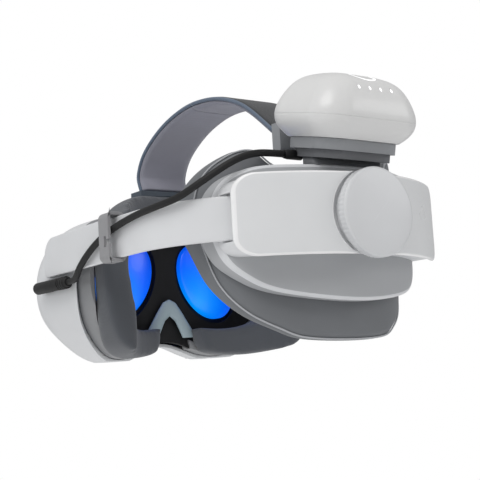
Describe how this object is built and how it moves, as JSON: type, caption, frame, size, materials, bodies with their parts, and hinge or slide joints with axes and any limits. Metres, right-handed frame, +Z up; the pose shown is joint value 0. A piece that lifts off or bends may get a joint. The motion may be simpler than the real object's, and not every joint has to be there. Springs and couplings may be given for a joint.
{
  "type": "vr headset",
  "caption": "Head-worn stereo display with a hard halo strap, rear tightening dial, padded cradle, top strap and lift-off battery with a short power lead.",
  "frame": {"origin": "centre of the overall box at the surface the headset stands on", "axes": "+X towards the wearer's right, +Y the way the wearer looks, +Z up"},
  "size_m": [0.2118, 0.2938, 0.1747],
  "materials": {
    "shell_white": "fine moulded satin, cool white",
    "panel_white": "smooth cover panel with a bright bevelled rim",
    "strap_white": "flexible moulded band, satin",
    "battery_white": "satin, finely textured",
    "dock_grey": "fine texture, light grey",
    "dock_dark": "fine texture, mid grey",
    "cradle_grey": "fine texture, light grey",
    "head_pad": "soft grey cover with a stitched edge",
    "face_foam": "dark knitted cover over foam",
    "interface_grey": "mid grey, matt",
    "optic_black": "black, light-trapping",
    "lens_glass": "coated clear lens",
    "display_glow": "lit blue screen",
    "camera_window": "dark window",
    "nose_rubber": "thin light grey-blue rubber",
    "strap_fabric": "dark grey woven webbing",
    "pad_fabric": "soft lavender-grey knit over foam",
    "clip_grey": "grey moulded clip",
    "cable_black": "black cable jacket",
    "plug_black": "black moulded plug",
    "bare_steel": "bright metal",
    "contact_metal": "plated contacts",
    "board_green": "circuit board",
    "cell_wrap": "wrapped cells",
    "gear_nylon": "natural nylon",
    "light_pipe": "milky light pipe"
  },
  "bodies": {
    "visor": {"front_shell": "shell_white", "tracking_cameras": "camera_window", "facial_interface": "interface_grey", "face_cushion": "face_foam", "nose_flap": "nose_rubber", "eye_frame": "optic_black", "main_board": "board_green", "cooling_fan": "optic_black", "usb_port": "bare_steel", "left_pivot_pin": "bare_steel", "right_pivot_pin": "bare_steel", "strap_base": "dock_grey", "usb_plug": "plug_black", "plug_collar": "cable_black"},
    "power_button": {"power_button": "shell_white"},
    "volume_rocker": {"volume_rocker": "shell_white"},
    "left_optic": {"left_lens": "lens_glass", "left_lens_barrel": "optic_black", "left_display": "display_glow"},
    "right_optic": {"right_lens": "lens_glass", "right_lens_barrel": "optic_black", "right_display": "display_glow"},
    "side_straps": {"left_arm": "shell_white", "right_arm": "shell_white", "left_strap": "strap_white", "right_strap": "strap_white", "cable_clip": "clip_grey"},
    "rear": {"rear_housing": "shell_white", "left_panel": "panel_white", "right_panel": "panel_white", "cradle": "cradle_grey", "head_cushion": "head_pad", "strap_anchor": "dock_grey", "top_strap": "strap_fabric", "top_strap_pad": "pad_fabric", "dock_base": "dock_dark", "dock_rim": "dock_grey", "dock_magnets": "bare_steel", "dock_pins": "contact_metal", "cable_gland": "cable_black", "power_cable": "cable_black"},
    "dial": {"dial": "shell_white", "dial_shaft": "gear_nylon"},
    "left_rack": {"left_rack": "gear_nylon"},
    "right_rack": {"right_rack": "gear_nylon"},
    "battery": {"battery_lower_shell": "battery_white", "battery_upper_shell": "battery_white", "battery_contacts": "contact_metal", "battery_cells": "cell_wrap", "battery_board": "board_green", "keeper_plates": "bare_steel", "light_ring": "light_pipe", "charge_lights": "light_pipe"},
    "battery_button": {"battery_button": "battery_white"}
  },
  "joints": [
    {"name": "visor_tilt", "type": "hinge", "parent": "visor", "child": "side_straps", "pos_m": [0, 0.075, 0.073], "axis": [1, 0, 0], "range_deg": [-4, 8], "deforming": ["top_strap", "top_strap_pad", "power_cable"]},
    {"name": "rear_slide", "type": "slide", "parent": "side_straps", "child": "rear", "axis": [0, 1, 0], "range_m": [-0.012, 0.012], "deforming": ["top_strap", "top_strap_pad", "power_cable", "left_strap", "right_strap"]},
    {"name": "dial_turn", "type": "hinge", "parent": "rear", "child": "dial", "pos_m": [0, -0.13, 0.073], "axis": [0, 1, 0], "range_deg": [-90, 90]},
    {"name": "left_rack_travel", "type": "hinge", "parent": "rear", "child": "left_rack", "pos_m": [0, -0.0189, 0.073], "axis": [0, 0, 1], "range_deg": [-6.5, 6.5]},
    {"name": "right_rack_travel", "type": "hinge", "parent": "rear", "child": "right_rack", "pos_m": [0, -0.0189, 0.073], "axis": [0, 0, 1], "range_deg": [-6.5, 6.5]},
    {"name": "battery_lift", "type": "slide", "parent": "rear", "child": "battery", "axis": [0, -0.225, 0.9744], "range_m": [0, 0.06]},
    {"name": "battery_button_press", "type": "slide", "parent": "battery", "child": "battery_button", "axis": [0, 0.225, -0.9744], "range_m": [0, 0.0008], "stiffness_N_per_m": 600},
    {"name": "power_button_press", "type": "slide", "parent": "visor", "child": "power_button", "axis": [-1, 0, 0], "range_m": [0, 0.0008], "stiffness_N_per_m": 600},
    {"name": "volume_rocker_tilt", "type": "hinge", "parent": "visor", "child": "volume_rocker", "pos_m": [0.04, 0.118, 0.004], "axis": [0, 1, 0], "range_deg": [-2, 2], "stiffness_Nm_per_rad": 0.3},
    {"name": "left_optic_slide", "type": "slide", "parent": "visor", "child": "left_optic", "axis": [1, 0, 0], "range_m": [-0.0025, 0.0025]},
    {"name": "right_optic_slide", "type": "slide", "parent": "visor", "child": "right_optic", "axis": [1, 0, 0], "range_m": [-0.0025, 0.0025]}
  ],
  "couplings": [
    {"joint": "dial_turn", "follows": "rear_slide", "rad_per_m": 125},
    {"joint": "left_rack_travel", "follows": "rear_slide", "rad_per_m": 9.09},
    {"joint": "right_rack_travel", "follows": "rear_slide", "rad_per_m": -9.09},
    {"joint": "right_optic_slide", "follows": "left_optic_slide", "ratio": -1}
  ]
}
